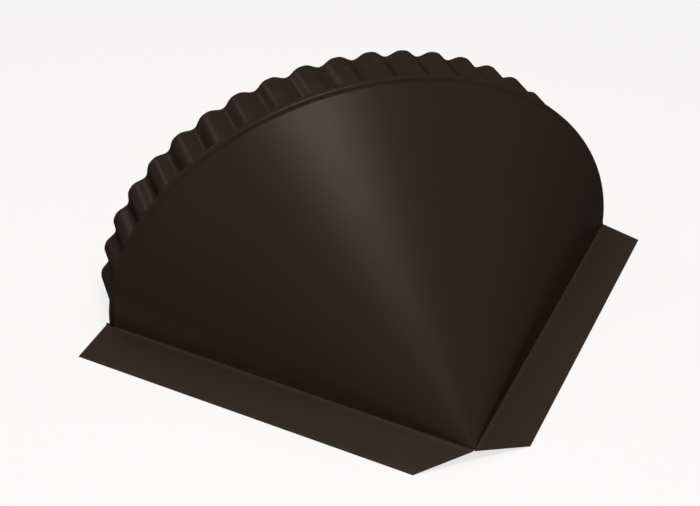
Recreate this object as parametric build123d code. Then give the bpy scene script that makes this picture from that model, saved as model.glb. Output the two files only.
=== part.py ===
from build123d import *
import os
from math import cos, hypot, pi, radians, sin, tan

# Ridge end cap: one formed steel sheet that closes the end of a round roof ridge.
# X runs across the roof, +Y along the ridge from the nose to the crimped skirt, +Z is up.
# The part lies on the lower edges of its two flanges, at Z = 0.

# Driving dimensions, in millimetres and degrees
mouth_half_width = 110.0
mouth_rise = 92.6
cone_length = 112.0
sheet = 0.5
nose_half_width = 0.9

flange_width = 17.4
flange_slope = 18.3
flange_nose_trim = 17.2
flange_heel_inner = 4.2
flange_heel_outer = 7.1
fold_radius = 0.8
fold_leg_spare = 0.2

bead_radius = 1.8
bead_steps = 4

skirt_length = 26.6
skirt_inset = 0.3
crimp_count = 22
crimp_depth = 2.7
crimp_runout = 4.0
runout_steps = 2

# Places that follow from the sizes
fold_length = hypot(mouth_half_width, cone_length)
fold_angle = 90 + flange_slope
fold_tangent = 1 / tan(radians(fold_angle / 2))
fold_leg = fold_radius * fold_tangent + fold_leg_spare
fold_height = (
    fold_leg + flange_width * sin(radians(flange_slope)) + sheet * cos(radians(flange_slope))
)
inner_shift = sheet * fold_length / mouth_half_width
bead_end = cone_length + 2 * bead_radius
skirt_end = cone_length + skirt_length


# The mouth: half an ellipse standing square to the ridge
mouth = EllipticalCenterArc(
    (0, 0), mouth_half_width, mouth_rise, start_angle=0, arc_size=180
)

# Crimps are even waves with a valley at both ends. Each wave has one arc over its crest and one
# through its valley, which meet half way up its flanks. Places are counted in quarter waves.
last_quarter = 4 * crimp_count
arc_ends = [0] + list(range(1, last_quarter, 2)) + [last_quarter]
arc_shares = [quarter / last_quarter for quarter in arc_ends]


def arch_point(y, share, scale=1.0, off=0.0):
    """Point on the mouth's outline at y, at a share of its length, scaled and set off its line."""
    place = (mouth @ share) * scale
    along = mouth % share
    return Vector(place.X + off * along.Y, y, fold_height + place.Y - off * along.X)


def smooth_arch(y, scale=1.0, lift=0.0):
    """The mouth's outline at y, as curves that run smoothly on from one to the next."""
    points = [arch_point(y, share, scale, lift) for share in arc_shares]
    slopes = [Vector((mouth % share).X, 0, (mouth % share).Y) for share in arc_shares]
    spans = range(len(points) - 1)
    return [Edge.make_spline(points[i : i + 2], tangents=slopes[i : i + 2]) for i in spans]


def crimped_arch(y, lift, crimp):
    """The mouth's outline at y, lifted off its line and pressed inwards in even waves."""
    def point(quarter):
        off = lift - crimp * (1 + cos(pi / 2 * quarter)) / 2
        return arch_point(y, quarter / last_quarter, off=off)

    arcs = []
    for first, second in zip(arc_ends, arc_ends[1:]):
        middle = point((first + second) / 2)
        arcs.append(Edge.make_three_point_arc(point(first), middle, point(second)))
    return arcs


def sheet_edge(outer, inner):
    """Closed outline of the sheet between its outer and inner arch."""
    left = Edge.make_line(outer[-1] @ 1, inner[-1] @ 1)
    right = Edge.make_line(inner[0] @ 0, outer[0] @ 0)
    return Wire(outer + [left] + inner + [right])


def cone_edges():
    """The sheet's outlines at the blunt nose and at the mouth."""
    nose_y = cone_length * nose_half_width / mouth_half_width
    outlines = []
    for y, inner_y in ((nose_y, nose_y), (cone_length, cone_length + sheet)):
        outer = smooth_arch(y, scale=y / cone_length)
        inner = smooth_arch(inner_y, scale=(inner_y - inner_shift) / cone_length)
        outlines.append(sheet_edge(outer, inner))
    return outlines


def bead_edges():
    """The sheet's outlines round the half-round bead behind the mouth."""
    outlines = []
    for i in range(1, bead_steps):
        turn = pi * i / bead_steps
        arches = []
        for radius in (bead_radius, bead_radius - sheet):
            y = cone_length + bead_radius - radius * cos(turn)
            arches.append(smooth_arch(y, lift=radius * sin(turn)))
        outlines.append(sheet_edge(*arches))
    outlines.append(sheet_edge(smooth_arch(bead_end), smooth_arch(bead_end, lift=-sheet)))
    return outlines


def skirt_edges():
    """The sheet's outlines along the skirt, whose crimps run out in a short rise behind the bead."""
    stations = [crimp_runout * i / runout_steps for i in range(1, runout_steps + 1)]
    stations.append(skirt_end - bead_end)
    outlines = []
    for station in stations:
        y = bead_end + station
        crimp = crimp_depth * sin(pi / 2 * min(station / crimp_runout, 1))
        lift = -skirt_inset * station / (skirt_end - bead_end)
        outlines.append(sheet_edge(crimped_arch(y, lift, crimp), crimped_arch(y, lift - sheet, crimp)))
    return outlines


def fold_section():
    """Section square to the fold, X outwards and Y up: a short leg, the bend and the flange."""
    slope = radians(flange_slope)
    outward = Vector(cos(slope), -sin(slope))
    under = Vector(-sin(slope), -cos(slope)) * sheet
    crease = Vector(0, -fold_leg)
    heel = crease - Vector(sheet, sheet * (1 - sin(slope)) / cos(slope))
    tip = crease + outward * flange_width
    section = make_face(
        Polyline((0, 0), crease, tip, tip + under, heel, (-sheet, 0), close=True)
    )
    for corner, radius in ((crease, fold_radius), (heel, fold_radius + sheet)):
        section = fillet(section.vertices().sort_by_distance(corner)[0], radius)
    return section


def flange_plan():
    """Cut of one flange in plan: X along the fold from the nose, Y inwards from the fold."""
    reach = flange_width * cos(radians(flange_slope))
    under_wall = 2 * sheet
    inward = under_wall / reach
    heel_lead = flange_heel_outer - flange_heel_inner
    return make_face(
        Polyline(
            (-flange_nose_trim * inward, under_wall),
            (flange_nose_trim, -reach),
            (fold_length + flange_heel_outer, -reach),
            (fold_length + flange_heel_inner - heel_lead * inward, under_wall),
            close=True,
        )
    )


def right_flange():
    """Flange folded out along the cone's right edge and trimmed at its nose and heel."""
    along = Vector(mouth_half_width, cone_length, 0) / fold_length
    across = Vector(cone_length, -mouth_half_width, 0) / fold_length
    nose = Vector(0, 0, fold_height) - along * flange_nose_trim
    strip_length = flange_nose_trim + fold_length + flange_heel_outer
    strip = extrude(Plane(nose, x_dir=across, z_dir=-along) * fold_section(), amount=-strip_length)
    cut = extrude(Plane((0, 0, 0), x_dir=along, z_dir=(0, 0, 1)) * flange_plan(), amount=fold_height)
    return strip & cut


def ridge_end_cap():
    """The whole cap, moved so that its box stands centred on the origin."""
    flange = right_flange()
    shell = Solid.make_loft(cone_edges() + bead_edges() + skirt_edges(), ruled=True)
    cap = shell + flange + flange.mirror(Plane.YZ)
    return Pos(0, -cap.bounding_box().center().Y, 0) * cap


os.makedirs("parts", exist_ok=True)
export_step(ridge_end_cap(), "parts/ridge_end_cap.step")
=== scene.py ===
"""Ridge end cap: the looks of one formed sheet of painted steel, and a plain studio stage for it."""

import math

import bpy
import numpy as np
from bpy.props import (
    FloatProperty,
    FloatVectorProperty,
    IntProperty,
    PointerProperty,
)
from mathutils import Euler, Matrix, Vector


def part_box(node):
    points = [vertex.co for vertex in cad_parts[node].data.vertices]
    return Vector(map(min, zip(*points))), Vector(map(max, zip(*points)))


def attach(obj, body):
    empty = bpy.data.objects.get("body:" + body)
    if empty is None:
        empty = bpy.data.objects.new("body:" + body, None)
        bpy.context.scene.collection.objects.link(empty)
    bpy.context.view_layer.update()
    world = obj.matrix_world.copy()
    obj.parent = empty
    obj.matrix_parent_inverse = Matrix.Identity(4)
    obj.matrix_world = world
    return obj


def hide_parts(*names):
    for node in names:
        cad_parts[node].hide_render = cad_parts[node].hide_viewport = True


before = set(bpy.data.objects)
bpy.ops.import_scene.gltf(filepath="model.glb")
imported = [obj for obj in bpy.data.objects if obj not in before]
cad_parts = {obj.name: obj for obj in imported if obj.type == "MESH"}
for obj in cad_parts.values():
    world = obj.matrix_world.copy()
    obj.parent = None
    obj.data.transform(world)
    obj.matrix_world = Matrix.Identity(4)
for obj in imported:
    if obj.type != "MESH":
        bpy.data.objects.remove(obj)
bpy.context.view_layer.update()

bl_info = {
    "name": "Ridge End Cap",
    "version": (1, 0, 0),
    "blender": (4, 5, 0),
    "location": "View3D > Sidebar > Ridge Cap",
    "description": "Forms a painted ridge end cap and sets a plain studio stage for it",
    "category": "Object",
}

NODE = "ridge_end_cap"
BODY = "root"
MM = 0.001


# Settings


def length(name, description, millimetres):
    """A length property whose default is given in millimetres."""
    return FloatProperty(
        name=name,
        description=description,
        default=millimetres * MM,
        min=0.0,
        precision=5,
        subtype="DISTANCE",
        unit="LENGTH",
    )


def angle(name, description, degrees):
    """An angle property whose default is given in degrees."""
    return FloatProperty(
        name=name,
        description=description,
        default=math.radians(degrees),
        subtype="ANGLE",
        unit="ROTATION",
    )


def share(name, description, default, highest=1.0):
    """A plain number from nought up."""
    return FloatProperty(
        name=name,
        description=description,
        default=default,
        min=0.0,
        max=highest,
        precision=4,
        subtype="FACTOR",
    )


def whole(name, description, default, lowest):
    """A whole number."""
    return IntProperty(name=name, description=description, default=default, min=lowest)


def colour(name, description, default):
    """A linear colour."""
    return FloatVectorProperty(
        name=name,
        description=description,
        default=default,
        min=0.0,
        max=1.0,
        size=3,
        precision=4,
        subtype="COLOR",
    )


def power(name, description, watts):
    """Power of a lamp."""
    return FloatProperty(name=name, description=description, default=watts, min=0.0, unit="POWER")


def position(name, description, metres):
    """A place or a reach in space."""
    return FloatVectorProperty(
        name=name,
        description=description,
        default=metres,
        size=3,
        precision=5,
        subtype="TRANSLATION",
        unit="LENGTH",
    )


class CapSizes(bpy.types.PropertyGroup):
    """Sizes of the formed sheet"""

    mouth_half_width: length("Mouth half width", "Half the width of the mouth at its foot", 110.0)
    mouth_rise: length("Mouth rise", "Height of the mouth above its foot", 92.6)
    cone_length: length("Cone length", "Length of the half-cone along the ridge", 112.0)
    sheet: length("Sheet", "Thickness of the sheet", 0.5)
    nose_half_width: length("Nose half width", "Half the width of the blunt nose", 0.45)
    edge_round: length("Edge round", "Softening of the cut edges of the sheet", 0.08)
    flange_width: length("Flange width", "Width of each flange square to its fold", 17.4)
    flange_slope: angle("Flange slope", "Fall of each flange away from its fold", 18.3)
    flange_nose_trim: length("Flange nose trim", "Start of the outer edge past the nose", 17.2)
    flange_heel_inner: length("Flange heel inner", "Reach of the fold past the mouth", 4.2)
    flange_heel_outer: length("Flange heel outer", "Reach of the outer edge past the mouth", 7.1)
    fold_radius: length("Fold radius", "Radius of the fold on its upper side", 0.8)
    fold_leg_spare: length("Fold leg spare", "Straight sheet above the fold's bend", 0.2)
    bead_radius: length("Bead radius", "Radius of the half-round bead behind the mouth", 1.8)
    skirt_length: length("Skirt length", "Length from the mouth to the free edge", 26.6)
    skirt_inset: length("Skirt inset", "Fall of the crests at the free edge", 0.3)
    crimp_depth: length("Crimp depth", "Depth of the crimps past their run-out", 2.7)
    crimp_runout: length("Crimp run-out", "Length behind the bead over which the crimps rise", 4.0)
    crimp_fullness: share("Crimp fullness", "Above one, narrows grooves and fills crests", 1.5, 3.0)
    crimp_count: whole("Crimps", "Number of crimps round the skirt", 22, lowest=2)
    crimp_samples: whole("Samples", "Mesh columns in each crimp", 16, lowest=6)


class CapFinish(bpy.types.PropertyGroup):
    """Finish of the painted sheet"""

    paint: colour("Paint", "Colour of the coat", (0.0211, 0.0137, 0.0097))
    inside_paint: colour("Inside paint", "Colour of the duller inner coat", (0.075, 0.062, 0.053))
    rubbed: colour("Rubbed", "Colour of the coat where it is rubbed", (0.080, 0.063, 0.054))
    # Painted light: a paler colour mixed into the coat along the folds and on the flanges so that they
    # look more brightly lit; patchy noise gives it the look of a film of dust
    painted_light_colour: colour("Dust colour", "Colour of the thin film of dust", (0.052, 0.036, 0.028))
    painted_light: share("Dust", "Dust that settles on the flanges and along the folds", 0.9)
    roughness: share("Roughness", "Roughness of the coat", 0.36)
    gloss: share("Gloss", "Share of clear gloss on the coat", 0.0195)
    gloss_ior: share("Gloss IOR", "Refraction of the clear gloss", 4.0, 4.0)
    mottle: share("Mottle", "Share by which the colour varies over the sheet", 0.10)
    wear: share("Wear", "Rubbing of cut edges and crests", 0.35)
    grain: share("Grain", "Strength of the coat's fine texture", 0.06)


class StageSettings(bpy.types.PropertyGroup):
    """Floor, light and camera"""

    floor_colour: colour("Floor", "Colour of the floor", (0.93, 0.93, 0.93))
    floor_glow: share("Floor glow", "Share of plain white in the floor that is seen", 0.75)
    floor_size: length("Floor size", "Side of the floor", 8000.0)
    floor_bounce: colour("Floor bounce", "Colour of the floor's light on the part", (0.25, 0.25, 0.25))
    fill: share("Fill", "Strength of the soft light overhead", 0.92, 4.0)
    fill_low: share("Low fill", "Share of the soft light that comes from the sides", 0.03)
    lamp_colour: colour("Lamp colour", "Colour of both lamps", (1.0, 0.86, 0.82))
    key_power: power("Key power", "Power of the key light", 3.2)
    key_width: length("Key width", "Width of the key light", 260.0)
    key_depth: length("Key depth", "Depth of the key light", 160.0)
    key_place: position("Key place", "Place of the key light", (-0.055, -0.210, 0.710))
    rim_power: power("Rim power", "Power of the small light behind the skirt", 1.1)
    rim_size: length("Rim size", "Side of the small light behind the skirt", 150.0)
    rim_place: position("Rim place", "Place of the small light", (-0.454, 0.885, 0.480))
    lens: FloatProperty(
        name="Lens",
        description="Focal length of the camera in millimetres",
        default=76.24,
        unit="CAMERA",
    )
    eye: position("Eye", "Place of the camera from the nose", (-0.18339, -0.35507, 0.38411))
    turn: FloatVectorProperty(
        name="Turn",
        description="Turn of the camera",
        default=(math.radians(53.357), math.radians(-1.066), math.radians(-19.675)),
        subtype="EULER",
        unit="ROTATION",
    )


# Shape of the sheet

# Rows and columns of the mesh
MOUTH_STEPS = 20000
CONE_ROWS = 40
BEAD_ROWS = 12
RUNOUT_ROWS = 12
SKIRT_ROWS = 8
TIP_ROWS = 2
HEEL_ROWS = 4
BEND_COLUMNS = 9
FLANGE_COLUMNS = 12

# Gap between the cone's last two rows, and place of the flange's first row
MOUTH_ROW_GAP = 0.6 * MM
FIRST_TIP_ROW = 0.12 * MM

# Mesh edges that bend more than this are shaded sharp
SHARP_ANGLE = math.radians(50)

# Marks that the finish reads from the mesh, from nought to one
PLAIN_CREST = 0.5
BEAD_CREST = 0.75
SKIN_EDGE_RIM = 0.6
# Painted light on the flanges: a lighter tone that rises outwards from the fold
FLANGE_PAINTED_LIGHT = 0.12
FLANGE_PAINTED_LIGHT_RISE = 0.25

# Shares of the mouth's length and of the flange's width over which the painted light fades
FOOT_PAINTED_LIGHT_REACH = 0.055
FOLD_PAINTED_LIGHT_REACH = 0.06


class Sheet:
    """The outer skin of the sheet as quads, with the direction that the sheet faces at each point."""

    def __init__(self):
        self.points = []
        self.facing = []
        self.crest = []
        self.painted_light = []
        self.quads = []

    def add(self, points, facing, crest, painted_light):
        """Takes rows of points and gives their numbers in the same rows."""
        first = len(self.points)
        rows, columns = points.shape[:2]
        self.points.extend(points.reshape(-1, 3))
        self.facing.extend(facing.reshape(-1, 3))
        self.crest.extend(crest.reshape(-1))
        self.painted_light.extend(painted_light.reshape(-1))
        return np.arange(first, first + rows * columns).reshape(rows, columns)

    def fill(self, numbers, turned=False):
        """Makes quads between neighbouring rows and columns of numbered points."""
        corners = [numbers[:-1, :-1], numbers[1:, :-1], numbers[1:, 1:], numbers[:-1, 1:]]
        if turned:
            corners.reverse()
        self.quads.append(np.stack(corners, axis=-1).reshape(-1, 4))


def bend_reach(s):
    """Length of the fold's bend on each side of its crease."""
    return s.fold_radius / math.tan((math.pi / 2 + s.flange_slope) / 2)


def fold_height(s):
    """Height of the cone's foot above the floor on which the flanges lie."""
    leg = bend_reach(s) + s.fold_leg_spare
    return leg + s.flange_width * math.sin(s.flange_slope) + s.sheet * math.cos(s.flange_slope)


def nose_place(s):
    """Where the sides of the cone would meet in a point, in the frame of the CAD part."""
    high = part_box(NODE)[1]
    return Vector((0.0, high.y - s.cone_length - s.skirt_length, fold_height(s)))


def mouth_line(s):
    """Points, outward directions and shares of length round the mouth, from right foot to left."""
    half, rise = s.mouth_half_width, s.mouth_rise
    fine = np.linspace(0.0, math.pi, MOUTH_STEPS + 1)
    steps = np.hypot(np.diff(half * np.cos(fine)), np.diff(rise * np.sin(fine)))
    run = np.concatenate([[0.0], np.cumsum(steps)])
    shares = np.linspace(0.0, 1.0, s.crimp_count * s.crimp_samples + 1)
    turn = np.interp(shares * run[-1], run, fine)
    points = np.stack([half * np.cos(turn), rise * np.sin(turn)], axis=1)
    outward = np.stack([rise * np.cos(turn), half * np.sin(turn)], axis=1)
    return points, outward / np.linalg.norm(outward, axis=1)[:, None], shares


def cone_stations(s):
    """Distances from the nose of the rows of points along the cone."""
    blunt = s.cone_length * s.nose_half_width / s.mouth_half_width
    near_mouth = s.cone_length - MOUTH_ROW_GAP
    return np.concatenate([np.linspace(blunt, near_mouth, CONE_ROWS), [s.cone_length]])


def arch_rows(s):
    """Rows of points over cone, bead and skirt, with each point's height on the crimps and its share of
    painted light.
    """
    points, outward, shares = mouth_line(s)
    wave = ((1 + np.cos(2 * math.pi * s.crimp_count * shares)) / 2) ** s.crimp_fullness
    # Painted light at the cone's foot beside each fold, fading up the sides
    foot = np.clip(1 - np.minimum(shares, 1 - shares) / FOOT_PAINTED_LIGHT_REACH, 0.0, 1.0)
    rows = []
    crests = []
    painted_lights = []

    def row(y, scale, off, crest, painted_light=0.0):
        place = points * scale + outward * np.broadcast_to(off, shares.shape)[:, None]
        rows.append(np.stack([place[:, 0], np.full(len(shares), y), place[:, 1]], axis=1))
        crests.append(np.broadcast_to(crest, shares.shape))
        painted_lights.append(np.broadcast_to(painted_light, shares.shape))

    for y in cone_stations(s):
        row(y, y / s.cone_length, 0.0, PLAIN_CREST, foot)
    for turn in np.linspace(0.0, math.pi, BEAD_ROWS + 1)[1:]:
        reach = s.bead_radius * (1 - math.cos(turn))
        row(s.cone_length + reach, 1.0, s.bead_radius * math.sin(turn), BEAD_CREST)
    behind = 2 * s.bead_radius
    reach = s.skirt_length - behind
    rise = np.linspace(0.0, s.crimp_runout, RUNOUT_ROWS + 1)[1:]
    rest = np.linspace(s.crimp_runout, reach, SKIRT_ROWS + 1)[1:]
    for station in np.concatenate([rise, rest]):
        crimp = s.crimp_depth * math.sin(math.pi / 2 * min(station / s.crimp_runout, 1.0))
        off = -s.skirt_inset * station / reach - crimp * wave
        row(s.cone_length + behind + station, 1.0, off, 1 - wave)
    return np.array(rows), np.array(crests), np.array(painted_lights)


def facing_of(rows):
    """Directions that a grid of points faces, square to its rows and columns."""
    across = np.cross(np.gradient(rows, axis=0), np.gradient(rows, axis=1))
    return across / np.linalg.norm(across, axis=2)[:, :, None]


def fold_line(s):
    """Section of one flange outwards from the cone's foot: reach and height, and the way it faces."""
    bend = bend_reach(s)
    centre = np.array([s.fold_radius, -s.fold_leg_spare])
    turns = np.linspace(0.0, math.pi / 2 - s.flange_slope, BEND_COLUMNS)
    bend_facing = np.stack([np.cos(turns), np.sin(turns)], axis=1)
    curve = centre - s.fold_radius * bend_facing
    crease = np.array([0.0, -(bend + s.fold_leg_spare)])
    outward = np.array([math.cos(s.flange_slope), -math.sin(s.flange_slope)])
    run = np.linspace(bend, s.flange_width, FLANGE_COLUMNS + 1)[1:]
    flat = crease + run[:, None] * outward
    flat_facing = np.repeat(bend_facing[-1:], len(flat), axis=0)
    line = np.concatenate([[[0.0, 0.0]], curve, flat])
    return line, np.concatenate([[[1.0, 0.0]], bend_facing, flat_facing])


def add_flange(s, sheet, foot, side):
    """One flange on the numbered points of the cone's foot; side is 1 for right and -1 for left."""
    fold = math.hypot(s.mouth_half_width, s.cone_length)
    along = np.array([side * s.mouth_half_width, s.cone_length, 0.0]) / fold
    across = np.array([side * s.cone_length, -s.mouth_half_width, 0.0]) / fold
    up = np.array([0.0, 0.0, 1.0])
    line, facing = fold_line(s)
    outwards = line[:, 0] / line[-1, 0]

    stations = cone_stations(s) * fold / s.cone_length
    fold_end = fold + s.flange_heel_inner
    tip = np.linspace(FIRST_TIP_ROW, stations[0], TIP_ROWS + 1)[:-1]
    heel = np.linspace(stations[-1], fold_end, HEEL_ROWS + 1)[1:]
    shares = np.concatenate([tip, stations, heel]) / fold_end
    begins = s.flange_nose_trim * outwards
    ends = fold_end + (s.flange_heel_outer - s.flange_heel_inner) * outwards
    reach = begins + shares[:, None] * (ends - begins)

    points = reach[:, :, None] * along + line[:, :1] * across + line[:, 1:] * up
    ways = np.broadcast_to(facing[:, :1] * across + facing[:, 1:] * up, points.shape)
    crest = np.full(reach.shape, PLAIN_CREST)
    # Painted light on the flange: full at the fold, and elsewhere a lighter tone rising outwards
    painted_light = np.maximum(FLANGE_PAINTED_LIGHT + FLANGE_PAINTED_LIGHT_RISE * outwards, 1 - outwards / FOLD_PAINTED_LIGHT_REACH)
    painted_light = np.broadcast_to(painted_light, reach.shape)
    marks = (points, ways, crest, painted_light)

    # The foot gives the flange its upper edge, except at the tip and the heel
    heel_from = len(tip) + len(stations)
    free = [*range(len(tip)), *range(heel_from, len(shares))]
    numbers = sheet.add(*[mark[:, 1:] for mark in marks])
    free_edge = sheet.add(*[mark[free, :1] for mark in marks])[:, 0]
    upper_edge = np.concatenate([free_edge[: len(tip)], foot, free_edge[len(tip) :]])
    sheet.fill(np.column_stack([upper_edge, numbers]), turned=side > 0)


def rim_of(quads):
    """Directed edges that only one quad has."""
    seen = {}
    for quad in quads:
        for i in range(4):
            a, b = int(quad[i]), int(quad[(i + 1) % 4])
            if (b, a) in seen:
                del seen[(b, a)]
            else:
                seen[(a, b)] = True
    return list(seen)


def rim_directions(points, facing, rim, rim_points):
    """Directions out of the sheet at the points of its rim, and nought at all others."""
    away = np.zeros_like(points)
    for a, b in rim:
        edge = points[b] - points[a]
        edge /= np.linalg.norm(edge)
        for end in (a, b):
            away[end] += np.cross(edge, facing[end])
    away[rim_points] /= np.linalg.norm(away[rim_points], axis=1)[:, None]
    return away


def rim_walls(rim, rim_points, count):
    """Quads of the cut edge: a softened corner to each skin, and the wall between them."""
    spot = {point: i for i, point in enumerate(rim_points)}
    walls = []
    for a, b in rim:
        up_a, up_b = 2 * count + spot[a], 2 * count + spot[b]
        low_a, low_b = up_a + len(rim_points), up_b + len(rim_points)
        walls.append((b, a, up_a, up_b))
        walls.append((up_b, up_a, low_a, low_b))
        walls.append((low_b, low_a, count + a, count + b))
    return np.array(walls)


def solid_sheet(s, sheet):
    """Points, quads and marks of both skins and of the softened cut edge between them."""
    outer = np.array(sheet.points)
    facing = np.array(sheet.facing)
    inner = outer - facing * s.sheet
    count = len(outer)
    quads = np.concatenate(sheet.quads)
    rim = rim_of(quads)
    rim_points = sorted({a for a, _ in rim})
    away = rim_directions(outer, facing, rim, rim_points)
    upper = outer[rim_points] - facing[rim_points] * s.edge_round
    lower = inner[rim_points] + facing[rim_points] * s.edge_round
    outer -= away * s.edge_round
    inner -= away * s.edge_round
    points = np.concatenate([outer, inner, upper, lower])
    faces = np.concatenate([quads, quads[:, ::-1] + count, rim_walls(rim, rim_points, count)])

    rims = np.zeros(len(points))
    rims[rim_points] = SKIN_EDGE_RIM
    rims[2 * count :] = 1.0
    inside = np.zeros(len(points))
    inside[count : 2 * count] = 1.0
    others = len(points) - count
    crests = np.concatenate([sheet.crest, np.full(others, PLAIN_CREST)])
    painted_lights = np.concatenate([sheet.painted_light, np.zeros(others)])
    return points, faces, {"rim": rims, "crest": crests, "painted_light": painted_lights, "inside": inside}


def cap_mesh(s):
    """The whole cap as one closed mesh in the frame of the CAD part, within its box."""
    sheet = Sheet()
    rows, crests, painted_lights = arch_rows(s)
    numbers = sheet.add(rows, facing_of(rows), crests, painted_lights)
    sheet.fill(numbers)
    stations = len(cone_stations(s))
    add_flange(s, sheet, numbers[:stations, 0], 1)
    add_flange(s, sheet, numbers[:stations, -1], -1)
    points, faces, marks = solid_sheet(s, sheet)
    low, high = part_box(NODE)
    points = np.clip(points + np.array(nose_place(s)), np.array(low), np.array(high))
    mesh = bpy.data.meshes.new("ridge_end_cap_sheet")
    mesh.from_pydata(points.tolist(), [], faces.tolist())
    for name, values in marks.items():
        attribute = mesh.attributes.new(name, "FLOAT", "POINT")
        attribute.data.foreach_set("value", values.astype(np.float32))
    mesh.shade_smooth()
    mesh.set_sharp_from_angle(angle=SHARP_ANGLE)
    if mesh.validate():
        raise RuntimeError("the sheet's mesh has faults")
    return mesh


# Finish

# Scales of the patterns in the coat, and height of its grain
BROAD_SCALE = 22.0
PATCH_SCALE = 140.0
GRAIN_SCALE = 1500.0
GRAIN_HEIGHT = 0.2 * MM
NOISE_MIDDLE = 0.5

# Stretches of noise or crimp height over which an effect sets in, and its shares at both ends
EDGE_RUB_FROM = (0.34, 0.66)
EDGE_RUB_SHARES = (0.25, 1.0)
SCUFF_FROM = (0.50, 0.68)
SCUFF_SHARES = (0.0, 0.30)
CREST_FROM = (0.80, 1.0)
PAINTED_LIGHT_FROM = (0.25, 0.75)
PAINTED_LIGHT_SHARES = (0.8, 1.1)
# Painted shade in the crimps' grooves: the coat darkens towards the bottom of each groove, where shade
# falls
GROOVE_SHADE_FROM = (0.0, 0.30)
GROOVE_SHADE_SHARES = (0.30, 0.0)
GROOVE_SHADE_TONE = 0.55

# Roughness that patches, rubbing and the inner side add to the coat's own
PATCH_ROUGHNESS = 0.05
RUBBED_ROUGHNESS = 0.10
INSIDE_ROUGHNESS = 0.12

# Faint drift in the floor's tone
DRIFT_SCALE = 3.0
DRIFT_FROM = (0.3, 0.7)
DRIFT_TONE = 0.99
FLOOR_ROUGHNESS = 0.9

WHITE = (1.0, 1.0, 1.0, 1.0)


class Nodes:
    """Short ways to add and join shader nodes."""

    def __init__(self, tree):
        self.tree = tree
        tree.nodes.clear()

    def add(self, kind, inputs=(), **values):
        """A new node with its own values set and its inputs set or joined by name."""
        node = self.tree.nodes.new(kind)
        for name, value in values.items():
            setattr(node, name, value)
        for name, value in dict(inputs).items():
            self.put(node.inputs[name], value)
        return node

    def put(self, socket, value):
        """Joins another socket to this one, or sets it to a plain value."""
        if isinstance(value, bpy.types.NodeSocket):
            self.tree.links.new(value, socket)
        else:
            socket.default_value = value

    def object_place(self):
        """Place on the object, in its own frame."""
        return self.add("ShaderNodeTexCoord").outputs["Object"]

    def mark(self, name):
        """A mark that the mesh carries."""
        return self.add("ShaderNodeAttribute", attribute_name=name).outputs["Fac"]

    def noise(self, place, scale, detail, roughness=0.5):
        """Cloudy noise from nought to one."""
        inputs = {"Vector": place, "Scale": scale, "Detail": detail, "Roughness": roughness}
        return self.add("ShaderNodeTexNoise", inputs).outputs["Fac"]

    def spread(self, value, start, shares=(0.0, 1.0)):
        """Eases from the first share to the second while the value runs over a stretch."""
        ends = {"From Min": start[0], "From Max": start[1], "To Min": shares[0], "To Max": shares[1]}
        inputs = {"Value": value, **ends}
        node = self.add("ShaderNodeMapRange", inputs, clamp=True, interpolation_type="SMOOTHSTEP")
        return node.outputs["Result"]

    def calc(self, operation, *values, clamp=False):
        """Result of one sum on two or three values."""
        node = self.add("ShaderNodeMath", operation=operation, use_clamp=clamp)
        for socket, value in zip(node.inputs, values):
            self.put(socket, value)
        return node.outputs["Value"]

    def mix(self, factor, first, second, blend="MIX"):
        """Blend of two colours."""
        inputs = {"Factor": factor, "A": first, "B": second}
        node = self.add("ShaderNodeMix", inputs, data_type="RGBA", blend_type=blend)
        return node.outputs["Result"]

    def seen(self):
        """One where the camera, a gloss or a clear piece looks, nought where soft light comes from."""
        path = self.add("ShaderNodeLightPath").outputs
        both = self.calc("ADD", path["Is Camera Ray"], path["Is Glossy Ray"])
        return self.calc("ADD", both, path["Is Transmission Ray"], clamp=True)


def rgba(value, tone=1.0):
    """A colour for a socket, at a share of its own tone."""
    return (value[0] * tone, value[1] * tone, value[2] * tone, 1.0)


def new_material(name):
    """An empty material, and its nodes."""
    material = bpy.data.materials.new(name)
    material.use_nodes = True
    return material, Nodes(material.node_tree)


def rubbed_places(n, finish, crest, patchy):
    """How far the coat is rubbed: along the cut edges, and in scuffs on the crests of the crimps."""
    edges = n.calc("MULTIPLY", n.mark("rim"), n.spread(patchy, EDGE_RUB_FROM, EDGE_RUB_SHARES))
    scuffs = n.spread(patchy, SCUFF_FROM, SCUFF_SHARES)
    crests = n.calc("MULTIPLY", n.spread(crest, CREST_FROM), scuffs)
    return n.calc("MULTIPLY", n.calc("MAXIMUM", edges, crests), finish.wear, clamp=True)


def mottled_coat(n, finish, inside, broad):
    """Colour of the bare coat on both sides, a little lighter and darker from place to place."""
    coat = n.mix(inside, rgba(finish.paint), rgba(finish.inside_paint))
    off_middle = n.calc("SUBTRACT", broad, NOISE_MIDDLE)
    tint = n.calc("MULTIPLY_ADD", off_middle, 2 * finish.mottle, 1.0)
    shade = n.add("ShaderNodeCombineColor", {"Red": tint, "Green": tint, "Blue": tint})
    return n.mix(1.0, coat, shade.outputs["Color"], "MULTIPLY")


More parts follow.
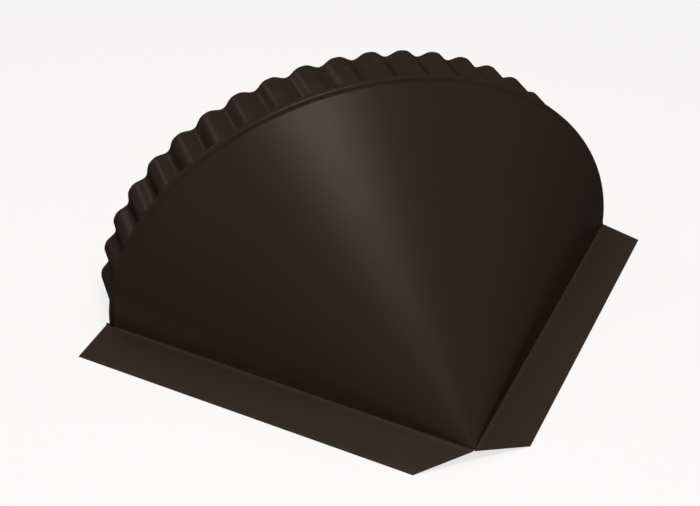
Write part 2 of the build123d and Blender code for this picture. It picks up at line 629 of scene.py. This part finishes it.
def paint_material(finish):
    """Baked satin coat on steel: slight mottling, painted light on the folds and flanges, rubbed edges,
    painted shade in the grooves.
    """
    material, n = new_material("brown_baked_coat")
    place = n.object_place()
    broad = n.noise(place, BROAD_SCALE, detail=3.0)
    patchy = n.noise(place, PATCH_SCALE, detail=4.0, roughness=0.6)
    fine = n.noise(place, GRAIN_SCALE, detail=2.0)
    crest = n.mark("crest")
    inside = n.mark("inside")

    coat = mottled_coat(n, finish, inside, broad)
    # Painted light: the coat is made paler along the folds and on the flanges, in dust-like patches
    painted_light_share = n.calc("MULTIPLY", n.mark("painted_light"), n.spread(patchy, PAINTED_LIGHT_FROM, PAINTED_LIGHT_SHARES))
    painted_light_share = n.calc("MULTIPLY", painted_light_share, finish.painted_light, clamp=True)
    coat = n.mix(painted_light_share, coat, rgba(finish.painted_light_colour))
    rub = rubbed_places(n, finish, crest, patchy)
    coat = n.mix(rub, coat, rgba(finish.rubbed))
    # Painted shade: the outer coat is darkened towards the bottom of each groove
    groove_shade = n.spread(crest, GROOVE_SHADE_FROM, GROOVE_SHADE_SHARES)
    groove_shade = n.calc("MULTIPLY", groove_shade, n.calc("SUBTRACT", 1.0, inside))
    coat = n.mix(groove_shade, coat, rgba(finish.paint, GROOVE_SHADE_TONE))

    off_middle = n.calc("SUBTRACT", patchy, NOISE_MIDDLE)
    rough = n.calc("MULTIPLY_ADD", off_middle, PATCH_ROUGHNESS, finish.roughness)
    rough = n.calc("MULTIPLY_ADD", rub, RUBBED_ROUGHNESS, rough)
    rough = n.calc("MULTIPLY_ADD", inside, INSIDE_ROUGHNESS, rough, clamp=True)
    grain = {"Strength": finish.grain, "Distance": GRAIN_HEIGHT, "Height": fine}
    normal = n.add("ShaderNodeBump", grain).outputs["Normal"]

    paint = {
        "Base Color": coat,
        "Roughness": rough,
        "Specular IOR Level": 0.0,
        "Normal": normal,
        "Coat Weight": finish.gloss,
        "Coat IOR": finish.gloss_ior,
        "Coat Roughness": rough,
        "Coat Normal": normal,
    }
    shader = n.add("ShaderNodeBsdfPrincipled", paint)
    n.add("ShaderNodeOutputMaterial", {"Surface": shader.outputs["BSDF"]})
    return material


def floor_material(stage):
    """Matt pale floor; where it is seen, a share of its white is glow and the rest takes shadow."""
    material, n = new_material("pale_floor")
    seen = n.seen()
    drift = n.spread(n.noise(n.object_place(), DRIFT_SCALE, detail=2.0), DRIFT_FROM)
    lit = 1 - stage.floor_glow
    dim, full = rgba(stage.floor_colour, DRIFT_TONE * lit), rgba(stage.floor_colour, lit)
    matt = {
        "Base Color": n.mix(seen, rgba(stage.floor_bounce), n.mix(drift, dim, full)),
        "Emission Color": WHITE,
        "Emission Strength": n.calc("MULTIPLY", seen, stage.floor_glow),
        "Roughness": FLOOR_ROUGHNESS,
        "Specular IOR Level": 0.0,
    }
    shader = n.add("ShaderNodeBsdfPrincipled", matt)
    n.add("ShaderNodeOutputMaterial", {"Surface": shader.outputs["BSDF"]})
    return material


# Stage

# How closely the soft light gathers overhead
FILL_GATHER = 3.0

# Camera, in millimetres and metres
SENSOR_WIDTH = 36.0
CLIP_START = 0.01


def link(thing):
    """Puts an object into the scene."""
    bpy.context.scene.collection.objects.link(thing)
    return thing


def make_world(stage):
    """Surroundings that look white and light the part softly from above."""
    world = bpy.data.worlds.new("soft_surroundings")
    bpy.context.scene.world = world
    world.use_nodes = True
    n = Nodes(world.node_tree)
    way = n.add("ShaderNodeTexCoord").outputs["Generated"]
    height = n.add("ShaderNodeSeparateXYZ", {"Vector": way}).outputs["Z"]
    overhead = n.calc("POWER", n.calc("MAXIMUM", height, 0.0), FILL_GATHER)
    soft = n.calc("MULTIPLY", n.calc("MAXIMUM", overhead, stage.fill_low), stage.fill)
    seen = n.seen()
    strength = n.calc("MULTIPLY_ADD", n.calc("SUBTRACT", 1.0, seen), soft, seen)
    background = n.add("ShaderNodeBackground", {"Color": WHITE, "Strength": strength})
    n.add("ShaderNodeOutputWorld", {"Surface": background.outputs["Background"]})


def make_floor(stage):
    """A wide flat floor at the height on which the part lies."""
    half = stage.floor_size / 2
    corners = [(-half, -half, 0), (half, -half, 0), (half, half, 0), (-half, half, 0)]
    mesh = bpy.data.meshes.new("floor")
    mesh.from_pydata(corners, [], [(0, 1, 2, 3)])
    mesh.materials.append(floor_material(stage))
    floor = link(bpy.data.objects.new("floor", mesh))


def make_lamp(name, where, width, depth, watts, tint):
    """A flat lamp that faces the part and stays out of the picture."""
    light = bpy.data.lights.new(name, "AREA")
    light.shape = "RECTANGLE"
    light.size = width
    light.size_y = depth
    light.energy = watts
    light.color = tint
    lamp = link(bpy.data.objects.new(name, light))
    lamp.location = where
    lamp.rotation_euler = Vector(where).to_track_quat("Z", "Y").to_euler()
    lamp.visible_camera = False


def make_lamps(stage):
    """The key light over the cone and the small light behind the skirt."""
    tint = stage.lamp_colour
    make_lamp("key", stage.key_place, stage.key_width, stage.key_depth, stage.key_power, tint)
    make_lamp("rim", stage.rim_place, stage.rim_size, stage.rim_size, stage.rim_power, tint)


def make_camera(stage, nose):
    """The camera, placed from the nose of the cone."""
    data = bpy.data.cameras.new("camera")
    data.lens = stage.lens
    data.sensor_width = SENSOR_WIDTH
    data.clip_start = CLIP_START
    camera = link(bpy.data.objects.new("camera", data))
    camera.location = nose + Vector(stage.eye)
    camera.rotation_euler = Euler(stage.turn)
    bpy.context.scene.camera = camera


# Operators and panel


class RIDGECAP_OT_form_sheet(bpy.types.Operator):
    """Forms the whole cap from one painted sheet"""

    bl_idname = "ridgecap.form_sheet"
    bl_label = "Form Sheet"
    bl_options = {"REGISTER", "UNDO"}

    def execute(self, context):
        mesh = cap_mesh(context.scene.cap_sizes)
        mesh.materials.append(paint_material(context.scene.cap_finish))
        cap = link(bpy.data.objects.new("ridge_end_cap_sheet", mesh))
        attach(cap, BODY)
        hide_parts(NODE)
        return {"FINISHED"}


class RIDGECAP_OT_set_stage(bpy.types.Operator):
    """Sets the floor, the light and the camera"""

    bl_idname = "ridgecap.set_stage"
    bl_label = "Set Stage"
    bl_options = {"REGISTER", "UNDO"}

    def execute(self, context):
        stage = context.scene.cap_stage
        make_world(stage)
        make_floor(stage)
        make_lamps(stage)
        make_camera(stage, nose_place(context.scene.cap_sizes))
        context.scene.view_settings.view_transform = "Standard"
        return {"FINISHED"}


class RIDGECAP_PT_panel(bpy.types.Panel):
    """Lists the steps that make the part"""

    bl_idname = "RIDGECAP_PT_panel"
    bl_label = "Ridge End Cap"
    bl_space_type = "VIEW_3D"
    bl_region_type = "UI"
    bl_category = "Ridge Cap"

    def draw(self, context):
        self.layout.operator(RIDGECAP_OT_form_sheet.bl_idname)
        self.layout.operator(RIDGECAP_OT_set_stage.bl_idname)


CLASSES = (
    CapSizes,
    CapFinish,
    StageSettings,
    RIDGECAP_OT_form_sheet,
    RIDGECAP_OT_set_stage,
    RIDGECAP_PT_panel,
)


def register():
    """Makes the settings, the operators and the panel known."""
    for item in CLASSES:
        bpy.utils.register_class(item)
    bpy.types.Scene.cap_sizes = PointerProperty(type=CapSizes)
    bpy.types.Scene.cap_finish = PointerProperty(type=CapFinish)
    bpy.types.Scene.cap_stage = PointerProperty(type=StageSettings)


def unregister():
    """Takes them away again, in the opposite order."""
    del bpy.types.Scene.cap_stage
    del bpy.types.Scene.cap_finish
    del bpy.types.Scene.cap_sizes
    for item in reversed(CLASSES):
        bpy.utils.unregister_class(item)


def main():
    """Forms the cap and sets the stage."""
    register()
    bpy.ops.ridgecap.form_sheet()
    bpy.ops.ridgecap.set_stage()
    bpy.context.view_layer.update()


if __name__ == "__main__":
    main()
